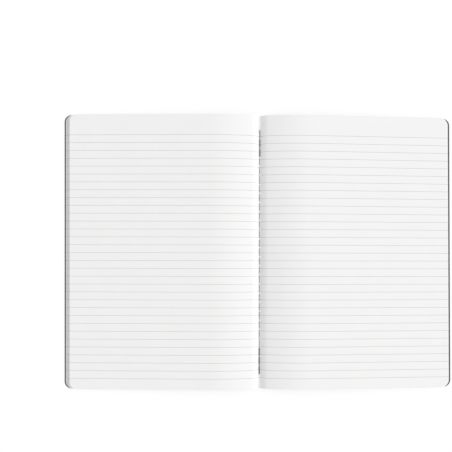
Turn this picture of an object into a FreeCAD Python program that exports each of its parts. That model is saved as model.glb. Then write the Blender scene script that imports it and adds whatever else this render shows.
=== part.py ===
import FreeCAD, Part

import math
import os

import Sketcher

# An open thread-sewn notebook lying face up, in millimetres.
# X runs to the right across both pages, Y up the page to its head, Z up from the table.
# The origin is on the table, under the middle of the fold.

doc = FreeCAD.newDocument("open_notebook")
sheet = doc.addObject("Spreadsheet::Sheet", "Sizes")

sizes = [
    # the leaves and the cover, seen from above
    ("page_height", 250.0),       # head to tail
    ("cover_reach", 178.7),       # fold to the cover's fore-edge, along the table
    ("cover_overhang", 0.9),      # cover beyond the slanted edge of the leaves, at the table
    ("leaf_creep", 3.1),          # lowest leaf beyond the top one, because the fold wraps round it
    ("leaf_lean", 0.9),           # how far the top leaf has slid to the right
    ("corner_radius", 6.35),      # the rounded outer corners

    # the thicknesses
    ("cover_thickness", 0.35),
    ("stack_thickness", 2.7),     # thirty leaves of 0.09
    ("seat_gap", 0.05),           # air between the cover and the lowest leaf

    # the section across one half, along the underside of the cover
    ("fold_gap", 0.5),            # from the middle of the fold to each half
    ("spine_flat", 0.9),          # from the middle of the fold to the end of the flat strip
    ("crease_radius", 4.0),       # where the card turns up beside the fold
    ("rise_angle", 45.0),
    ("shoulder_radius", 5.0),     # where the steep rise eases off
    ("shoulder_angle", 11.5),
    ("crown_radius", 170.0),      # the broad hump of the page

    # the sewn seam
    ("stitch_pitch", 8.33),
    ("stitch_count", 27),
    ("tack_count", 3),            # stitches sewn twice at each end
    ("stitch_radius", 0.26),      # at the middle of a stitch
    ("tack_radius", 0.36),
    ("stitch_end_radius", 0.18),  # where it goes into its holes
    ("stitch_lift", 0.1),         # middle of the upper run above the top leaf's crease
    ("leg_radius", 0.14),         # thread down through the holes
    ("under_radius", 0.2),        # the run along the outside of the fold
]
for row, (alias, value) in enumerate(sizes, start=1):
    sheet.set("A%d" % row, alias)
    sheet.set("B%d" % row, str(value))
    sheet.setAlias("B%d" % row, alias)
doc.recompute()


TOP_OF_PAGES = "Sizes.cover_thickness + Sizes.seat_gap + Sizes.stack_thickness"


def size(alias):
    return float(sheet.get(alias))


def base_plane(body, role):
    return [item for item in body.Origin.OriginFeatures if item.Role == role][0]


def new_body(name):
    body = doc.addObject("PartDesign::Body", name)
    body.Label = name
    return body


def new_sketch(body, name, role):
    sketch = body.newObject("Sketcher::SketchObject", name)
    sketch.AttachmentSupport = (base_plane(body, role), "")
    sketch.MapMode = "FlatFace"
    return sketch


def bind(sketch, constraint, label, expression):
    sketch.renameConstraint(constraint, label)
    sketch.setExpression("Constraints." + label, expression)


def section_points(offset):
    """Joints and centres of the section's line and arcs, at a height above the cover's underside."""
    rise = math.radians(size("rise_angle"))
    ease = math.radians(size("shoulder_angle"))
    crease = size("crease_radius")
    shoulder = size("shoulder_radius")
    crown = size("crown_radius")
    crease_x, crease_z = size("spine_flat"), crease
    turn = crease + shoulder
    shoulder_x = crease_x + turn * math.sin(rise)
    shoulder_z = crease_z - turn * math.cos(rise)
    crown_x = shoulder_x + (crown - shoulder) * math.sin(ease)
    crown_z = shoulder_z - (crown - shoulder) * math.cos(ease)
    # the panel is the line from the cover's fore-edge, on the table, that just touches the crown
    reach = size("cover_reach") - crown_x
    fall = math.asin(crown / math.hypot(reach, crown_z)) - math.atan2(-crown_z, reach)
    end_x = size("cover_reach") + offset * math.sin(fall)
    end_z = offset * math.cos(fall)
    return {
        "crease": (crease_x, crease_z, crease - offset),
        "shoulder": (shoulder_x, shoulder_z, shoulder + offset),
        "crown": (crown_x, crown_z, crown + offset),
        "rise": rise, "ease": ease, "fall": fall, "end": (end_x, end_z),
    }


def add_run(sketch, offset, construction=False):
    """One line, three arcs and one line, each tangent to the next. Returns the first one's number."""
    points = section_points(offset)
    up = FreeCAD.Vector(0, 0, 1)

    def arc(name, start, end):
        x, z, radius = points[name]
        return Part.ArcOfCircle(Part.Circle(FreeCAD.Vector(x, z, 0), up, radius), start, end)

    crown_x, crown_z, crown = points["crown"]
    panel_start = FreeCAD.Vector(crown_x + crown * math.sin(points["fall"]),
                                 crown_z + crown * math.cos(points["fall"]), 0)
    quarter = math.pi / 2
    pieces = [
        Part.LineSegment(FreeCAD.Vector(size("fold_gap"), offset, 0),
                         FreeCAD.Vector(size("spine_flat"), offset, 0)),
        arc("crease", 3 * quarter, 3 * quarter + points["rise"]),
        arc("shoulder", quarter + points["ease"], quarter + points["rise"]),
        arc("crown", quarter - points["fall"], quarter + points["ease"]),
        Part.LineSegment(panel_start, FreeCAD.Vector(*points["end"], 0)),
    ]
    first = sketch.GeometryCount
    sketch.addGeometry(pieces, construction)
    sketch.addConstraint([
        Sketcher.Constraint("Tangent", first, 2, first + 1, 1),
        Sketcher.Constraint("Tangent", first + 1, 2, first + 2, 2),
        Sketcher.Constraint("Tangent", first + 2, 1, first + 3, 2),
        Sketcher.Constraint("Tangent", first + 3, 1, first + 4, 1),
        Sketcher.Constraint("Horizontal", first),
    ])
    return first


def add_underside(sketch, construction):
    """The cover's underside: flat strip, crease, shoulder, crown, then straight down to the table."""
    first = add_run(sketch, 0.0, construction)
    points = section_points(0.0)
    sketch.addConstraint(Sketcher.Constraint("PointOnObject", first, 1, -1))
    sketch.addConstraint(Sketcher.Constraint("PointOnObject", first + 4, 2, -1))
    bind(sketch, sketch.addConstraint(
        Sketcher.Constraint("DistanceX", -1, 1, first, 1, size("fold_gap"))), "gap", "Sizes.fold_gap")
    bind(sketch, sketch.addConstraint(
        Sketcher.Constraint("DistanceX", -1, 1, first, 2, size("spine_flat"))), "strip", "Sizes.spine_flat")
    bind(sketch, sketch.addConstraint(
        Sketcher.Constraint("DistanceX", -1, 1, first + 4, 2, size("cover_reach"))),
        "reach", "Sizes.cover_reach")
    for number, name in enumerate(("crease", "shoulder", "crown"), start=1):
        bind(sketch, sketch.addConstraint(
            Sketcher.Constraint("Radius", first + number, size(name + "_radius"))),
            name, "Sizes.%s_radius" % name)
    bind(sketch, sketch.addConstraint(
        Sketcher.Constraint("Angle", first + 1, points["rise"])), "rise", "Sizes.rise_angle * 1 deg")
    bind(sketch, sketch.addConstraint(
        Sketcher.Constraint("Angle", first + 2, points["rise"] - points["ease"])),
        "easing", "(Sizes.rise_angle - Sizes.shoulder_angle) * 1 deg")
    return first


def add_parallel(sketch, guide, label, offset, expression):
    """A run at an even height above the underside, which is geometry number guide."""
    first = add_run(sketch, offset)
    for number in (1, 2, 3):
        sketch.addConstraint(Sketcher.Constraint("Coincident", first + number, 3, guide + number, 3))
    sketch.addConstraint(Sketcher.Constraint("Vertical", guide, 1, first, 1))
    sketch.addConstraint(Sketcher.Constraint("Parallel", guide + 4, first + 4))
    bind(sketch, sketch.addConstraint(
        Sketcher.Constraint("DistanceY", guide, 1, first, 1, offset)), label, expression)
    return first


def close_section(sketch, low, high):
    """Joins two runs at the fold and at the fore-edge. Returns the fore-edge line's number."""
    def corner(number, end):
        return sketch.getPoint(number, end)

    fold_line = sketch.addGeometry(Part.LineSegment(corner(low, 1), corner(high, 1)), False)
    edge_line = sketch.addGeometry(Part.LineSegment(corner(low + 4, 2), corner(high + 4, 2)), False)
    sketch.addConstraint([
        Sketcher.Constraint("Coincident", fold_line, 1, low, 1),
        Sketcher.Constraint("Coincident", fold_line, 2, high, 1),
        Sketcher.Constraint("Coincident", edge_line, 1, low + 4, 2),
        Sketcher.Constraint("Coincident", edge_line, 2, high + 4, 2),
    ])
    return edge_line


def pad_section(body, sketch):
    """Runs the section from head to tail."""
    pad = body.newObject("PartDesign::Pad", body.Name + "_length")
    pad.Profile = sketch
    pad.SideType = "Symmetric"
    pad.setExpression("Length", "Sizes.page_height")
    doc.recompute()
    return pad


def turned(angle):
    return FreeCAD.Placement(FreeCAD.Vector(), FreeCAD.Rotation(FreeCAD.Vector(0, 0, 1), angle))


def add_cover(name, turn):
    """Half of the folded cover card, with its two outer corners rounded."""
    body = new_body(name)
    sketch = new_sketch(body, name + "_section", "XZ_Plane")
    low = add_underside(sketch, construction=False)
    high = add_parallel(sketch, low, "thickness", size("cover_thickness"), "Sizes.cover_thickness")
    edge_line = close_section(sketch, low, high)
    sketch.addConstraint(Sketcher.Constraint("Perpendicular", edge_line, low + 4))
    pad = pad_section(body, sketch)

    half = size("page_height") / 2
    near_edge = size("cover_reach") - size("cover_thickness")
    corners = []
    for number, edge in enumerate(pad.Shape.Edges, start=1):
        ends = [vertex.Point for vertex in edge.Vertexes]
        at_corner = all(abs(abs(end.y) - half) < 1e-6 and end.x > near_edge for end in ends)
        if at_corner and edge.Length < 2 * size("cover_thickness"):
            corners.append("Edge%d" % number)
    rounding = body.newObject("PartDesign::Fillet", name + "_corners")
    rounding.Base = (pad, corners)
    rounding.setExpression("Radius", "Sizes.corner_radius")
    body.Tip = rounding
    body.Placement = turned(turn)
    return body


def add_pages(name, turn, lean):
    """One side's stack of leaves, trimmed to the slanted fore-edge that the fold gives it."""
    body = new_body(name)
    sketch = new_sketch(body, name + "_section", "XZ_Plane")
    underside = add_underside(sketch, construction=True)
    bottom = size("cover_thickness") + size("seat_gap")
    top = bottom + size("stack_thickness")
    low = add_parallel(sketch, underside, "seat", bottom, "Sizes.cover_thickness + Sizes.seat_gap")
    high = add_parallel(sketch, underside, "top", top, TOP_OF_PAGES)
    edge_line = close_section(sketch, low, high)
    sketch.addConstraint(Sketcher.Constraint("Perpendicular", edge_line, low + 4))
    sketch.addConstraint(Sketcher.Constraint("PointOnObject", underside + 4, 2, edge_line))
    pad_section(body, sketch)
    add_trim(body, name + "_trim", lean)
    body.Placement = turned(turn)
    return body


def add_trim(body, name, lean):
    """Cuts the fore-edge and its rounded corners, along the slant that the creep gives the stack."""
    edge = size("cover_reach") - size("cover_overhang")
    half = size("page_height") / 2
    radius = size("corner_radius")
    margin = 2 * radius
    quarter = math.pi / 2
    up = FreeCAD.Vector(0, 0, 1)

    def line(x1, y1, x2, y2):
        return Part.LineSegment(FreeCAD.Vector(x1, y1, 0), FreeCAD.Vector(x2, y2, 0))

    def arc(y, start, end):
        return Part.ArcOfCircle(Part.Circle(FreeCAD.Vector(edge - radius, y, 0), up, radius), start, end)

    sketch = new_sketch(body, name + "_outline", "XY_Plane")
    sketch.addGeometry([
        line(edge, half - radius, edge, radius - half),
        arc(radius - half, -quarter, 0),
        line(edge - radius, -half, edge - radius, -half - margin),
        line(edge - radius, -half - margin, edge + margin, -half - margin),
        line(edge + margin, -half - margin, edge + margin, half + margin),
        line(edge + margin, half + margin, edge - radius, half + margin),
        line(edge - radius, half + margin, edge - radius, half),
        arc(half - radius, 0, quarter),
    ], False)
    sketch.addConstraint([
        Sketcher.Constraint("Tangent", 0, 2, 1, 2),
        Sketcher.Constraint("Tangent", 0, 1, 7, 1),
        Sketcher.Constraint("Perpendicular", 1, 1, 2, 1),
        Sketcher.Constraint("Coincident", 2, 2, 3, 1),
        Sketcher.Constraint("Coincident", 3, 2, 4, 1),
        Sketcher.Constraint("Coincident", 4, 2, 5, 1),
        Sketcher.Constraint("Coincident", 5, 2, 6, 1),
        Sketcher.Constraint("Perpendicular", 7, 2, 6, 2),
        Sketcher.Constraint("Vertical", 0),
        Sketcher.Constraint("Vertical", 2),
        Sketcher.Constraint("Horizontal", 3),
        Sketcher.Constraint("Vertical", 4),
        Sketcher.Constraint("Horizontal", 5),
        Sketcher.Constraint("Vertical", 6),
        Sketcher.Constraint("Symmetric", 2, 1, 6, 2, -1),
        Sketcher.Constraint("Equal", 2, 6),
    ])
    bind(sketch, sketch.addConstraint(
        Sketcher.Constraint("DistanceX", -1, 1, 0, 1, edge)),
        "edge", "Sizes.cover_reach - Sizes.cover_overhang")
    bind(sketch, sketch.addConstraint(
        Sketcher.Constraint("Radius", 1, radius)), "radius", "Sizes.corner_radius")
    bind(sketch, sketch.addConstraint(
        Sketcher.Constraint("DistanceY", 2, 1, 6, 2, 2 * half)), "height", "Sizes.page_height")
    bind(sketch, sketch.addConstraint(
        Sketcher.Constraint("DistanceY", 2, 2, 2, 1, margin)), "margin_y", "2 * Sizes.corner_radius")
    bind(sketch, sketch.addConstraint(
        Sketcher.Constraint("DistanceX", 0, 1, 4, 2, margin)), "margin_x", "2 * Sizes.corner_radius")
    trim = body.newObject("PartDesign::Pocket", name)
    trim.Profile = sketch
    trim.Type = "ThroughAll"
    trim.UseCustomVector = True
    trim.Direction = FreeCAD.Vector(-1, 0, 1)
    trim.setExpression("Direction.x", "%d * Sizes.leaf_lean - Sizes.leaf_creep" % lean)
    trim.setExpression("Direction.z", "Sizes.stack_thickness")
    body.Tip = trim


def add_strand_section(body, name, role, radius):
    """The thread's cross-section: an eight-sided ring of equal sides, centred on the sketch's origin."""
    sketch = new_sketch(body, name, role)
    sides = 8
    reach = size(radius)
    turns = [2 * math.pi * number / sides for number in range(sides)]
    points = [FreeCAD.Vector(reach * math.cos(turn), reach * math.sin(turn), 0) for turn in turns]
    for number in range(sides):
        sketch.addGeometry(Part.LineSegment(points[number], points[(number + 1) % sides]), False)
    ring = sketch.addGeometry(Part.Circle(FreeCAD.Vector(), FreeCAD.Vector(0, 0, 1), reach), True)
    for number in range(sides):
        following = (number + 1) % sides
        sketch.addConstraint(Sketcher.Constraint("Coincident", number, 2, following, 1))
        sketch.addConstraint(Sketcher.Constraint("PointOnObject", number, 1, ring))
        if number > 0:
            sketch.addConstraint(Sketcher.Constraint("Equal", 0, number))
    sketch.addConstraint(Sketcher.Constraint("Coincident", ring, 3, -1, 1))
    sketch.addConstraint(Sketcher.Constraint("PointOnObject", 0, 1, -1))
    bind(sketch, sketch.addConstraint(
        Sketcher.Constraint("Radius", ring, reach)), "radius", "Sizes." + radius)
    return sketch


def repeat(body, feature, name, count):
    """Repeats a feature from the head towards the tail, one stitch apart."""
    row = body.newObject("PartDesign::LinearPattern", name)
    row.Originals = [feature]
    row.Direction = (base_plane(body, "Y_Axis"), [""])
    row.Reversed = True
    row.Mode = "Spacing"
    row.setExpression("Offset", "Sizes.stitch_pitch")
    row.setExpression("Occurrences", count)
    body.Tip = row


def add_stitches(body, name, first_middle, count, radius):
    """A row of stitches in the crease, each a spindle that narrows to its two holes."""
    section = add_strand_section(body, name + "_section", "XZ_Plane", radius)
    section.setExpression("AttachmentOffset.Base.y", TOP_OF_PAGES + " + Sizes.stitch_lift")
    section.setExpression("AttachmentOffset.Base.z", "-(%s)" % first_middle)
    narrowing = "atan((Sizes.%s - Sizes.stitch_end_radius) / (Sizes.stitch_pitch / 2))" % radius
    stitch = body.newObject("PartDesign::Pad", name)
    stitch.Profile = section
    stitch.SideType = "Symmetric"
    stitch.setExpression("Length", "Sizes.stitch_pitch")
    stitch.setExpression("TaperAngle", "-" + narrowing)
    repeat(body, stitch, name + "_row", count)


def add_thread(name):
    """The sewn seam: the run outside the fold, a leg at each hole and the stitches on the top leaf."""
    body = new_body(name)

    under_section = add_strand_section(body, "under_section", "XZ_Plane", "under_radius")
    under_section.setExpression("AttachmentOffset.Base.y", "Sizes.under_radius + Sizes.seat_gap")
    under_run = body.newObject("PartDesign::Pad", "under_run")
    under_run.Profile = under_section
    under_run.SideType = "Symmetric"
    under_run.setExpression("Length", "Sizes.stitch_pitch * Sizes.stitch_count")

    leg_section = add_strand_section(body, "leg_section", "XY_Plane", "leg_radius")
    leg_section.setExpression("AttachmentOffset.Base.y", "Sizes.stitch_pitch * Sizes.stitch_count / 2")
    leg_section.setExpression("AttachmentOffset.Base.z", "Sizes.under_radius + Sizes.seat_gap")
    leg = body.newObject("PartDesign::Pad", "leg")
    leg.Profile = leg_section
    leg.setExpression("Length", TOP_OF_PAGES + " + Sizes.stitch_lift - Sizes.under_radius - Sizes.seat_gap")
    repeat(body, leg, "legs", "Sizes.stitch_count + 1")

    first = "Sizes.stitch_pitch * (Sizes.stitch_count - 1) / 2"
    first_at_tail = "Sizes.stitch_pitch * (Sizes.tack_count - 1 - (Sizes.stitch_count - 1) / 2)"
    add_stitches(body, "stitch", first, "Sizes.stitch_count", "stitch_radius")
    add_stitches(body, "head_tack", first, "Sizes.tack_count", "tack_radius")
    add_stitches(body, "tail_tack", first_at_tail, "Sizes.tack_count", "tack_radius")
    return body


right, left = 0, 180     # the left half is the right one turned about the upright axis
bodies = [
    add_cover("back_cover", right),
    add_pages("right_pages", right, lean=1),
    add_cover("front_cover", left),
    add_pages("left_pages", left, lean=-1),
    add_thread("binding_thread"),
]
doc.recompute()

for item in doc.Objects:
    if "Invalid" in item.State or "Error" in item.State:
        raise RuntimeError("%s failed: %s" % (item.Name, item.State))
for body in bodies:
    if body.Shape.isNull() or not body.Shape.isValid():
        raise RuntimeError("%s has no valid shape" % body.Label)

os.makedirs("parts", exist_ok=True)
for body in bodies:
    body.Shape.exportStep("parts/%s.step" % body.Label)
    box = body.Shape.BoundBox
    print("%s: %.1f cubic mm, x %.2f to %.2f, y %.2f to %.2f, z %.3f to %.3f" % (
        body.Label, body.Shape.Volume, box.XMin, box.XMax, box.YMin, box.YMax, box.ZMin, box.ZMax))
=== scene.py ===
import math

import bpy
import numpy as np
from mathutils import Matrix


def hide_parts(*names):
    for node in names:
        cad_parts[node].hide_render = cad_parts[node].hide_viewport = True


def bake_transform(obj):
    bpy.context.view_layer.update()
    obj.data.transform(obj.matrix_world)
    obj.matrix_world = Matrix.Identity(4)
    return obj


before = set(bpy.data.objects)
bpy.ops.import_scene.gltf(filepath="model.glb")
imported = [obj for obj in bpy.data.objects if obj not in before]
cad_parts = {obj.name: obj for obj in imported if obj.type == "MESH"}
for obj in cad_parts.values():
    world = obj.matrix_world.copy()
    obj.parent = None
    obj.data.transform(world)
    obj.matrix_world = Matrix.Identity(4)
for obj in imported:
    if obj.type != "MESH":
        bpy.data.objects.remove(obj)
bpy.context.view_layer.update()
mm = 0.001

# An open thread-sewn notebook. All lengths in the dictionaries are millimetres, all angles degrees.
# X runs to the right across both pages, Y up to the head, Z up from the table.

section = {
    "coverReach": 178.43,      # fold to fore-edge along the table
    "skew": 0.50,              # the fore-edges lie this far left at the head, and right at the tail
    "halfHeight": 125.0,       # middle to head, and middle to tail
    "cornerRadius": 6.35,
    "spineFlat": 0.9,          # half of the flat strip under the fold
    "creaseRadius": 4.0,       # where the card turns up beside the fold
    "riseAngle": 42.0,
    "shoulderRadius": 9.0,     # where the steep rise eases off
    "shoulderAngle": 10.5,
    "crownRadius": 164.9,      # the broad hump of the page
    "topOfLeaves": 3.10,       # upper face of the top sheet above the underside of the cover
    "pinchWidth": 1.7,         # how far from the fold the seam draws everything together
    "pinchLift": 0.44,         # underside of the cover raised over the outer thread
    "pinchDip": 0.26,          # sharp crease of the top sheet
    "bendReach": 13.0,         # as the notebook closes, it bends this far out from the fold
}

meshSteps = {
    "path": 60000,
    "toPanel": (4, 8, 6, 14),  # on the flat, in the crease, over the shoulder and over the crown
    "panel": 10,
    "corner": 8,
}


def walkUnderside(p):
    # The slope changes evenly with the distance walked from the fold, so every stretch is an arc or
    # a line, and the path is the running sum of the cosine and sine of the slope.
    rise = math.radians(p["riseAngle"])
    ease = math.radians(p["shoulderAngle"])
    turn = p["creaseRadius"] + p["shoulderRadius"]
    climb = p["crownRadius"] - p["shoulderRadius"]
    crownX = p["spineFlat"] + turn * math.sin(rise) + climb * math.sin(ease)
    crownZ = p["creaseRadius"] - turn * math.cos(rise) - climb * math.cos(ease)
    reach = p["coverReach"] - crownX
    # the outer panel is the line from the fore-edge, on the table, that just touches the hump
    fall = math.asin(p["crownRadius"] / math.hypot(reach, crownZ)) - math.atan2(-crownZ, reach)
    knots = np.cumsum([
        0.0,
        p["spineFlat"],
        p["creaseRadius"] * rise,
        p["shoulderRadius"] * (rise - ease),
        p["crownRadius"] * (ease + fall),
        reach,
    ])
    walked = np.linspace(0, knots[-1], meshSteps["path"] + 1)
    slope = np.interp(walked, knots, [0, 0, rise, ease, -fall, -fall])
    between = (slope[1:] + slope[:-1]) / 2
    x = np.concatenate([[0], np.cumsum(np.cos(between))]) * walked[1]
    z = np.concatenate([[0], np.cumsum(np.sin(between))]) * walked[1]
    return {"knots": knots, "walked": walked, "slope": slope, "x": x, "z": z, "fall": fall}


under = walkUnderside(section)


def layerPoint(walk, height):
    # A layer runs at an even height square to the underside. Left of the fold, walk is negative.
    # At the fold the seam pinches the layers: low ones rise in a rounded groove, high ones dip
    # in a sharp crease, and each layer takes its share.
    far = np.abs(walk)
    slope = np.interp(far, under["walked"], under["slope"])
    x = np.interp(far, under["walked"], under["x"]) - height * np.sin(slope)
    z = np.interp(far, under["walked"], under["z"]) + height * np.cos(slope)
    share = height / section["topOfLeaves"]
    near = np.clip(1 - x / section["pinchWidth"], 0, 1)
    z = z + section["pinchLift"] * (1 - share) * near * near * (3 - 2 * near)
    z = z - section["pinchDip"] * share * near
    return np.sign(walk) * x, z


def walkToEdge(edgeX, height):
    # distance walked to the point of a layer that lies edgeX from the fold, on the flat outer panel
    start = under["knots"][4]
    startX = np.interp(start, under["walked"], under["x"]) + height * math.sin(under["fall"])
    return start + (edgeX - startX) / math.cos(under["fall"])


def halfSteps(end, detail):
    # Distances walked from the fold to a fore-edge, close together in the crease and round the corner.
    # The steps up to the flat outer panel are the same for every layer, so no layer cuts its neighbour.
    knots = under["knots"]
    radius = section["cornerRadius"]
    parts = []
    for i, count in enumerate(meshSteps["toPanel"]):
        parts.append(np.linspace(knots[i], knots[i + 1], count * detail, endpoint=False))
    parts.append(np.linspace(knots[4], end - radius, meshSteps["panel"] * detail, endpoint=False))
    turn = np.linspace(0, math.pi / 2, meshSteps["corner"] * detail + 1)
    parts.append(end - radius + radius * np.sin(turn))
    return np.concatenate(parts)


def outline(steps, end):
    # half the sheet's length at each step: straight, then a quarter circle down to the fore-edge
    radius = section["cornerRadius"]
    past = np.clip(steps - (end - radius), 0, radius)
    return section["halfHeight"] - radius + np.sqrt(radius * radius - past * past)


def slab(leftEdge, rightEdge, low, high, along, detail=1, short=0.0, ripple=None):
    # Two grids of points, across by along, one for each face, joined into a closed skin.
    # Each row across is a ring: up the sheet on its upper face and back down on its lower face.
    # The sheet ends short of the head and the tail by the length short, and it is askew: each point
    # moves by skew times its share of the way to the head times its share of the way to the edge.
    middle = (low + high) / 2
    leftEnd = walkToEdge(leftEdge, middle)
    rightEnd = walkToEdge(rightEdge, middle)
    left = halfSteps(leftEnd, detail)
    right = halfSteps(rightEnd, detail)
    walk = np.concatenate([-left[:0:-1], right])
    half = np.concatenate([outline(left, leftEnd)[:0:-1], outline(right, rightEnd)]) - short
    share = np.linspace(-1, 1, along)
    faces = []
    for height in (high, low):
        x, z = layerPoint(walk, height)
        y = half[:, None] * share[None, :]
        x = x[:, None]
        x = x - section["skew"] * y / section["halfHeight"] * np.abs(x) / section["coverReach"]
        z = np.broadcast_to(z[:, None], y.shape)
        if ripple is not None:
            z = z + ripple(x, y)
        faces.append(np.stack([x, y, z], axis=2))
    ring = np.concatenate([faces[0], faces[1][:, ::-1]], axis=1)
    across, around = ring.shape[:2]
    i = np.arange(across - 1)[:, None] * around
    j = np.arange(around)[None, :]
    following = (j + 1) % around
    sides = np.stack([i + j, i + j + around, i + following + around, i + following], axis=2)
    j = np.arange(along - 1)
    cap = np.stack([j, j + 1, around - 2 - j, around - 1 - j], axis=1)
    farCap = cap[:, ::-1] + (across - 1) * around
    return ring.reshape(-1, 3), np.concatenate([sides.reshape(-1, 4), cap, farCap])


def makePiece(name, parts, standsFor, sharpAngle=40):
    # joins skins of points (in mm) and four-sided faces into one piece
    points, faces, count = [], [], 0
    for partPoints, partFaces in parts:
        points.append(partPoints)
        faces.append(partFaces + count)
        count += len(partPoints)
    mesh = bpy.data.meshes.new(name)
    mesh.from_pydata((np.concatenate(points) * mm).tolist(), [], np.concatenate(faces).tolist())
    mesh.polygons.foreach_set("use_smooth", np.ones(len(mesh.polygons), bool))
    mesh.set_sharp_from_angle(angle=math.radians(sharpAngle))
    mesh.update()
    piece = bpy.data.objects.new(name, mesh)
    bpy.context.collection.objects.link(piece)
    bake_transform(piece)
    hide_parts(*standsFor)
    print(name, "has", 2 * len(mesh.polygons), "triangles")
    return piece


# Shader maths

class Wire:
    # a node's output, with the sums that the finishes below need
    def __init__(self, finish, socket):
        self.finish, self.socket = finish, socket

    def __getitem__(self, name):
        return Wire(self.finish, self.socket.node.outputs[name])

    def sum(self, operation, *values):
        inputs = {number: value for number, value in enumerate(values)}
        return self.finish.node("ShaderNodeMath", {"operation": operation}, inputs)

    def __add__(self, other):
        return self.sum("ADD", self, other)

    def __sub__(self, other):
        return self.sum("SUBTRACT", self, other)

    def __rsub__(self, other):
        return self.sum("SUBTRACT", other, self)

    def __mul__(self, other):
        return self.sum("MULTIPLY", self, other)

    def __truediv__(self, other):
        return self.sum("DIVIDE", self, other)

    def __gt__(self, other):
        return self.sum("GREATER_THAN", self, other)

    def __lt__(self, other):
        return self.sum("LESS_THAN", self, other)

    __radd__ = __add__
    __rmul__ = __mul__

    def size(self):
        return self.sum("ABSOLUTE", self)

    def root(self):
        return self.sum("SQRT", self)

    def highest(self, other):
        return self.sum("MAXIMUM", self, other)

    def nearest(self):
        # distance to the nearest whole number
        return (self.sum("FRACT", self + 0.5) - 0.5).size()

    def fade(self, start, end):
        # 0 at start and before, 1 at end and after, smooth between
        ramp = {"interpolation_type": "SMOOTHSTEP"}
        if start < end:
            return self.finish.node("ShaderNodeMapRange", ramp, {"Value": self, 1: start, 2: end})
        return 1 - self.finish.node("ShaderNodeMapRange", ramp, {"Value": self, 1: end, 2: start})


class Finish:
    # one material, or the world
    def __init__(self, owner):
        owner.use_nodes = True
        self.owner, self.tree = owner, owner.node_tree
        self.tree.nodes.clear()

    def node(self, kind, settings=None, inputs=None):
        made = self.tree.nodes.new(kind)
        for name, value in (settings or {}).items():
            setattr(made, name, value)
        for name, value in (inputs or {}).items():
            if isinstance(value, Wire):
                self.tree.links.new(value.socket, made.inputs[name])
            else:
                made.inputs[name].default_value = value
        return Wire(self, made.outputs[0]) if len(made.outputs) else made

    def place(self):
        return self.node("ShaderNodeTexCoord")["Object"]

    def axes(self):
        return self.node("ShaderNodeSeparateXYZ", {}, {"Vector": self.place()})

    def noise(self, grain, detail=3.0, roughness=0.5, stretch=(1, 1, 1)):
        # grain is the size of the features in mm, and stretch makes them longer along an axis
        scale = tuple(1 / (grain * mm * s) for s in stretch)
        moved = self.node("ShaderNodeMapping", {}, {"Vector": self.place(), "Scale": scale})
        inputs = {"Vector": moved, "Scale": 1.0, "Detail": detail, "Roughness": roughness}
        return self.node("ShaderNodeTexNoise", {}, inputs)

    def blend(self, amount, first, second):
        settings = {"data_type": "RGBA", "clamp_factor": True}
        made = self.node("ShaderNodeMix", settings, {0: amount, 6: first, 7: second})
        return Wire(self, made.socket.node.outputs[2])

    def bump(self, height, depth, strength=1.0):
        # depth is the real height of the relief in mm
        inputs = {"Height": height, "Distance": depth * mm, "Strength": strength}
        return self.node("ShaderNodeBump", {}, inputs)

    def surface(self, inputs):
        shader = self.node("ShaderNodeBsdfPrincipled", {}, inputs)
        self.node("ShaderNodeOutputMaterial", {}, {"Surface": shader})
        return self.owner


# The cover: one folded card

cover = {
    "thickness": 0.35,
    "alongSteps": 41,
    "card": (0.052, 0.069, 0.064, 1),       # dark green-grey
    "cardLight": (0.094, 0.117, 0.110, 1),  # paler fibres
    "wornEdge": (0.15, 0.17, 0.16, 1),      # rubbed corners and fold
    "fibre": 0.45,
    "tooth": 1.1,              # the felt-like grain of the card
    "mottle": 24.0,
    "rimWidth": 0.4,           # how far the cut edges are rubbed
    "spineWidth": 1.6,         # and the fold
    "wear": 0.6,               # share of the rubbed colour there
    "relief": 0.06,
    "roughness": 0.62,
}


def coverFinish(p):
    finish = Finish(bpy.data.materials.new("darkCard"))
    axes = finish.axes()
    x = axes["X"].size() / mm
    y = axes["Y"].size() / mm
    fibres = finish.noise(p["fibre"], 5, 0.62, (1, 2.5, 1))
    tooth = finish.noise(p["tooth"], 4, 0.6)
    mottle = finish.noise(p["mottle"], 3, 0.5)
    fleck = fibres.fade(0.42, 0.68)
    # rubbed places: close to the cut edges, and along the fold
    reach, half = section["coverReach"], section["halfHeight"]
    inner = p["rimWidth"]
    edge = (axes["X"] + axes["Y"] * (section["skew"] / half)).size() / mm
    rim = edge.fade(reach + 0.1 - inner, reach + 0.1).highest(y.fade(half - inner, half))
    spine = x.fade(p["spineWidth"], 0.5) * 0.7
    worn = rim.highest(spine) * fibres.fade(0.35, 0.65)
    tone = fleck * 0.45 + tooth.fade(0.38, 0.68) * 0.35 + mottle.fade(0.3, 0.7) * 0.2
    card = finish.blend(tone, p["card"], p["cardLight"])
    colour = finish.blend(worn * p["wear"], card, p["wornEdge"])
    return finish.surface({
        "Base Color": colour,
        "Roughness": p["roughness"] + fleck * 0.12 + worn * 0.1,
        "Specular IOR Level": 0.4,
        "Normal": finish.bump(fibres * 0.4 + tooth * 0.6, p["relief"]),
    })


coverCard = makePiece(
    "cover_card",
    [slab(section["coverReach"], section["coverReach"], 0.0, cover["thickness"], cover["alongSteps"], 2)],
    ["front_cover", "back_cover"])
coverCard.data.materials.append(coverFinish(cover))


# The leaves: folded sheets laid one in another and stitched through the fold

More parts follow.
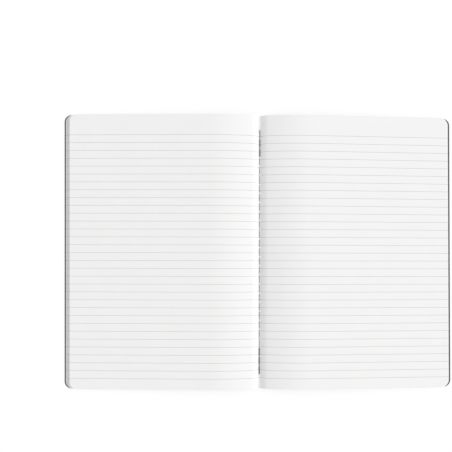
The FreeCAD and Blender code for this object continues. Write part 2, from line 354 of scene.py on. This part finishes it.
leaves = {
    "count": 30,
    "bottom": 0.40,            # lowest sheet above the underside of the cover
    "spacing": 0.09,
    "thickness": 0.074,
    "edgeLeft": 177.88,        # the slanted fore-edges meet the table here
    "edgeRight": 177.33,
    "slantLeft": 1.5,          # how far each millimetre of height brings the edge in
    "slantRight": 0.815,
    "unevenness": 0.10,        # of the cut fore-edges
    "shortness": 0.09,         # most that a sheet ends short at head and tail
    "topAlongSteps": 217,
    "puckerDepth": 0.05,       # the top sheet rises between the stitches' holes
    "puckerWidth": 2.2,
    "firstLine": 106.23,       # the ruling, from the top line down
    "linePitch": 7.144,
    "lineCount": 32,
    "lineWidth": 0.30,
    "paper": (0.868, 0.868, 0.864, 1),
    "paperDark": (0.835, 0.836, 0.834, 1),
    "shaded": (0.73, 0.73, 0.73, 1),  # painted shade at its darkest, on the strip of cut edges on the left, for the shadow that the sheets above cast on the lower ones
    "shadedFrom": 173.0,
    "shadedTo": 177.0,
    "shadedSoftness": 1.0,
    # painted shade inside the needle holes
    "hole": (0.10, 0.10, 0.10, 1),
    "cloud": 14.0,             # wide, faint unevenness of the paper's tone
    "ink": (0.49, 0.49, 0.495, 1),
    "grain": 0.25,
    "relief": 0.006,
    "roughness": 0.78,
}

seam = {
    "firstHole": 112.455,
    "pitch": 8.33,
    "count": 27,
    "radius": 0.165,
    "gap": 1.7,                # paper that shows between one stitch and the next
    "gapShift": 0.3,           # the gap lies this far past the hole, towards the tail
    "headTack": (2, 3, 3),     # how often the first stitches are sewn over, from the head down
    "tailTack": (3, 3, 3),     # and the last ones
    "tackGap": 0.5,
    "tackSpacing": 0.32,       # between the threads that lie side by side in a tack
    "tackLean": 0.12,          # right of the fold at the head, and left of it at the tail
    "holeRadius": 0.36,
    "holeCore": 0.16,          # fully dark with painted shade within this
    "holeDepth": 4.0,          # in times the relief of the paper
    "underRadius": 0.17,
    "underGap": 0.32,
    "underHeight": 0.235,
    "seat": 3.13,              # middle of the thread above the table
    "sink": 0.75,              # how deep a stitch goes into its holes
    "squareness": 7.0,
    "taper": 0.12,             # each end of a stitch narrows to a point over this length
    "plies": 3,
    "twistLength": 1.9,        # for one turn of the plies
    "plyDepth": 0.13,          # groove between plies, as a share of the radius
    "thread": (0.046, 0.066, 0.088, 1),
    "threadLight": (0.10, 0.13, 0.16, 1),
    "fuzz": 0.10,
    "patch": 3.0,              # paler stretches
    "relief": 0.02,
    "roughness": 0.72,
}


def leafFinish(p, s):
    finish = Finish(bpy.data.materials.new("ruledPaper"))
    axes = finish.axes()
    x = axes["X"] / mm
    y = axes["Y"] / mm
    grain = finish.noise(p["grain"], 4, 0.6)
    cloud = finish.noise(p["cloud"], 3, 0.5)
    # ruled lines: how far each point is from the nearest one, in the rows that are printed
    row = (p["firstLine"] - y) / p["linePitch"]
    printed = (row > -0.5) * (row < p["lineCount"] - 0.5)
    halfWidth = p["lineWidth"] / 2
    line = (row.nearest() * p["linePitch"]).fade(halfWidth * 1.35, halfWidth * 0.65)
    ink = line * printed * (0.8 + grain * 0.3)
    # needle holes along the fold, where each stitch comes up, with painted shade for the dark inside them
    stitch = (s["firstHole"] - s["gapShift"] - s["gap"] / 2 - y) / s["pitch"]
    sewn = (stitch > -0.5) * (stitch < s["count"] - 0.5)
    up = stitch.nearest() * s["pitch"]
    hole = (x * x + up * up).root().fade(s["holeRadius"], s["holeCore"]) * sewn
    tone = grain.fade(0.3, 0.75) * 0.35 + cloud.fade(0.3, 0.7) * 0.25
    paper = finish.blend(tone, p["paper"], p["paperDark"])
    # painted shade on the strip along the left fore-edge, which is askew, for the shadow of the sheets above
    # on the lower sheets' edges
    cut = (y * (section["skew"] / section["halfHeight"]) + x) * -1
    soft = p["shadedSoftness"]
    shaded = cut.fade(p["shadedFrom"], p["shadedFrom"] + soft) * cut.fade(p["shadedTo"], p["shadedTo"] - soft)
    paper = finish.blend(shaded, paper, p["shaded"])
    ruled = finish.blend(ink, paper, p["ink"])
    colour = finish.blend(hole * 0.85, ruled, p["hole"])
    height = grain - hole * s["holeDepth"]
    return finish.surface({
        "Base Color": colour,
        "Roughness": p["roughness"] + grain * 0.12,
        "Specular IOR Level": 0.25,
        "Normal": finish.bump(height, p["relief"]),
    })


def pucker(x, y):
    # the stitches pull the top sheet down at their holes, and it stands up a little between them
    stitch = (seam["firstHole"] - y) / seam["pitch"]
    wave = np.sin(np.pi * stitch) ** 2
    wave = wave * (stitch > 0) * (stitch < seam["count"])
    return leaves["puckerDepth"] * wave * np.exp(-(x / leaves["puckerWidth"]) ** 2)


def sheetEdges(low, unevenness):
    # where a sheet ends on each side: on a slanted plane, so that lower sheets reach further
    fall = math.tan(under["fall"])
    edges = []
    for side, extra in zip(("Left", "Right"), unevenness):
        edge, slant = leaves["edge" + side], leaves["slant" + side]
        z = (low / math.cos(under["fall"]) + (section["coverReach"] - edge) * fall) / (1 - slant * fall)
        edges.append(edge - slant * z + extra)
    return edges


chance = np.random.default_rng(27)
cut = chance.uniform(-1, 1, (leaves["count"], 2)) * leaves["unevenness"]
short = chance.uniform(0, 1, leaves["count"]) * leaves["shortness"]
sheets = []
for number in range(leaves["count"]):
    low = leaves["bottom"] + leaves["spacing"] * number
    high = low + leaves["thickness"]
    edges = sheetEdges(low, cut[number])
    if number < leaves["count"] - 1:
        sheets.append(slab(*edges, low, high, 3, 1, short[number]))
    else:
        topSheet = slab(*edges, low, high, leaves["topAlongSteps"], 2, short[number], pucker)

ruledPaper = leafFinish(leaves, seam)
lowerLeaves = makePiece("lower_leaves", sheets, ["left_pages", "right_pages"])
lowerLeaves.data.materials.append(ruledPaper)
topLeaf = makePiece("top_leaf", [topSheet], ["left_pages", "right_pages"])
topLeaf.data.materials.append(ruledPaper)


# The seam: a twisted thread, one arch for each stitch inside the fold and one outside

def stitchSkin(head, height, sink, radius, gap, spread=0.0, steps=56, sides=15):
    # A stitch follows a flattened arch: a superellipse from hole to hole, which is nearly straight on
    # top and turns down steeply at both ends. Its section is a ring of plies that turns as it goes.
    half = (seam["pitch"] - gap) / 2
    power = 2 / seam["squareness"]
    turn = np.linspace(0, math.pi, steps)
    cos, sin = np.cos(turn), np.sin(turn)
    y = head - seam["pitch"] / 2 + half * np.sign(cos) * np.abs(cos) ** power
    z = height + sink * (np.abs(sin) ** power - 1)
    x = spread * sin
    path = np.stack([x, y, z], axis=1)
    ahead = np.gradient(path, axis=0)
    ahead /= np.linalg.norm(ahead, axis=1)[:, None]
    side = np.cross(ahead, [1.0, 0, 0])
    side /= np.linalg.norm(side, axis=1)[:, None]
    across = np.cross(side, ahead)
    walked = np.concatenate([[0], np.cumsum(np.linalg.norm(np.diff(path, axis=0), axis=1))])
    around = np.linspace(0, 2 * math.pi, sides, endpoint=False)[None, :]
    twist = 2 * math.pi * walked[:, None] / seam["twistLength"]
    wave = 1 + seam["plyDepth"] * (np.cos(seam["plies"] * (around - twist)) - 1)
    # the ends close to a point inside the holes
    swell = np.clip(np.minimum(walked, walked[-1] - walked) / seam["taper"], 0, 1)[:, None] ** 0.5
    reach = radius * wave * np.maximum(swell, 0.02)
    ring = (path[:, None] + reach[..., None]
            * (np.cos(around)[..., None] * across[:, None] + np.sin(around)[..., None] * side[:, None]))
    i = np.arange(steps - 1)[:, None] * sides
    j = np.arange(sides)[None, :]
    following = (j + 1) % sides
    faces = np.stack([i + j, i + following, i + following + sides, i + j + sides], axis=2)
    return ring.reshape(-1, 3), faces.reshape(-1, 4)


def threadFinish(p):
    finish = Finish(bpy.data.materials.new("sewingThread"))
    fuzz = finish.noise(p["fuzz"], 4, 0.6, (1, 3, 1))
    patch = finish.noise(p["patch"], 2, 0.5)
    tone = fuzz.fade(0.35, 0.75) * 0.6 + patch.fade(0.4, 0.7) * 0.25
    colour = finish.blend(tone, p["thread"], p["threadLight"])
    return finish.surface({
        "Base Color": colour,
        "Roughness": p["roughness"] + fuzz * 0.15,
        "Sheen Weight": 0.1,
        "Normal": finish.bump(fuzz, p["relief"]),
    })


# each tacked stitch's number with its passes and its lean
tacks = {}
for number, passes in enumerate(seam["headTack"]):
    tacks[number] = (passes, seam["tackLean"])
for number, passes in enumerate(seam["tailTack"], seam["count"] - len(seam["tailTack"])):
    tacks[number] = (passes, -seam["tackLean"])
stitches = []
for number in range(seam["count"]):
    head = seam["firstHole"] - seam["pitch"] * number
    passes, lean = tacks.get(number, (1, 0.0))
    gap, shift = (seam["tackGap"], 0.0) if number in tacks else (seam["gap"], seam["gapShift"])
    for spread in lean + (np.arange(passes) - (passes - 1) / 2) * seam["tackSpacing"]:
        stitches.append(stitchSkin(head - shift, seam["seat"], seam["sink"], seam["radius"], gap, spread))
    height, sink, radius = seam["underHeight"], -seam["sink"], seam["underRadius"]
    stitches.append(stitchSkin(head, height, sink, radius, seam["underGap"], 0.0, 40, 12))
sewnSeam = makePiece("sewn_seam", stitches, ["binding_thread"], 180)
sewnSeam.data.materials.append(threadFinish(seam))


# Floor, light and camera

studio = {
    "floorSize": 8.0,          # metres
    "floorSteps": 8,
    "floorDrop": 0.03,         # millimetres under the notebook
    "floorWhite": 0.96,
    "floorDusk": 0.99,         # the darkest of its faint patches, as a share of its white
    "floorPatch": 600.0,
    "floorGlow": 0.7,          # share of the floor that the camera sees as plain white
    "glowStrength": 1.025,
    "skyLight": 0.745,
    "keyLight": 1.78,
    "keyAngle": 60.0,          # from straight overhead, towards the right
    "keyTurn": 4.0,
    "keySoftness": 40.0,
    "sensorWidth": 36,
    "photoWidth": 452,
    "focalPixels": 490.9,
    "cameraPlace": (-43.24, -6.36, 453.3),
    "cameraTilt": (0.324, -1.577, 0.126),
    "picturesDrop": 30,        # pixels that the notebook lies below the middle of the lens
}


def seenDirectly(finish):
    paths = finish.node("ShaderNodeLightPath")
    return paths["Is Camera Ray"].highest(paths["Is Glossy Ray"]).highest(paths["Is Transmission Ray"])


def makeFloor(p):
    half = p["floorSize"] / 2
    count = p["floorSteps"]
    steps = np.linspace(-half, half, count + 1)
    x, y = np.meshgrid(steps, steps, indexing="ij")
    points = np.stack([x, y, np.full_like(x, -p["floorDrop"] * mm)], axis=2).reshape(-1, 3)
    i = np.arange(count)[:, None] * (count + 1)
    j = np.arange(count)[None, :]
    faces = np.stack([i + j, i + j + count + 1, i + j + count + 2, i + j + 1], axis=2).reshape(-1, 4)
    mesh = bpy.data.meshes.new("floor")
    mesh.from_pydata(points.tolist(), [], faces.tolist())
    floor = bpy.data.objects.new("floor", mesh)
    bpy.context.collection.objects.link(floor)
    finish = Finish(bpy.data.materials.new("whiteFloor"))
    white, dusk = p["floorWhite"], p["floorWhite"] * p["floorDusk"]
    cloud = finish.noise(p["floorPatch"], 2, 0.5)
    tone = finish.blend(cloud, (white, white, white, 1), (dusk, dusk, dusk, 1))
    matt = finish.node("ShaderNodeBsdfDiffuse", {}, {"Color": tone})
    glow = finish.node("ShaderNodeEmission", {}, {"Color": (1, 1, 1, 1), "Strength": p["glowStrength"]})
    share = seenDirectly(finish) * p["floorGlow"]
    mixed = finish.node("ShaderNodeMixShader", {}, {0: share, 1: matt, 2: glow})
    finish.node("ShaderNodeOutputMaterial", {}, {"Surface": mixed})
    mesh.materials.append(finish.owner)


def makeWorld(p):
    world = bpy.data.worlds.new("studio")
    bpy.context.scene.world = world
    finish = Finish(world)
    light = finish.node("ShaderNodeBackground", {}, {"Color": (1, 1, 1, 1), "Strength": p["skyLight"]})
    white = finish.node("ShaderNodeBackground", {}, {"Color": (1, 1, 1, 1), "Strength": 1.0})
    mixed = finish.node("ShaderNodeMixShader", {}, {0: seenDirectly(finish), 1: light, 2: white})
    finish.node("ShaderNodeOutputWorld", {}, {"Surface": mixed})


def makeKeyLight(p):
    lamp = bpy.data.lights.new("keyLight", "SUN")
    lamp.energy = p["keyLight"]
    lamp.angle = math.radians(p["keySoftness"])
    key = bpy.data.objects.new("keyLight", lamp)
    key.rotation_euler = (math.radians(-p["keyTurn"]), math.radians(p["keyAngle"]), 0)
    bpy.context.collection.objects.link(key)


def makeCamera(p):
    lens = bpy.data.cameras.new("camera")
    lens.sensor_width = p["sensorWidth"]
    lens.lens = p["focalPixels"] * p["sensorWidth"] / p["photoWidth"]
    lens.shift_y = p["picturesDrop"] / p["photoWidth"]
    lens.clip_start = 0.01
    camera = bpy.data.objects.new("camera", lens)
    camera.location = [value * mm for value in p["cameraPlace"]]
    camera.rotation_euler = [math.radians(value) for value in p["cameraTilt"]]
    bpy.context.collection.objects.link(camera)
    bpy.context.scene.camera = camera


makeFloor(studio)
makeWorld(studio)
makeKeyLight(studio)
makeCamera(studio)
bpy.context.scene.view_settings.view_transform = "Standard"
print("floor, light and camera are set")
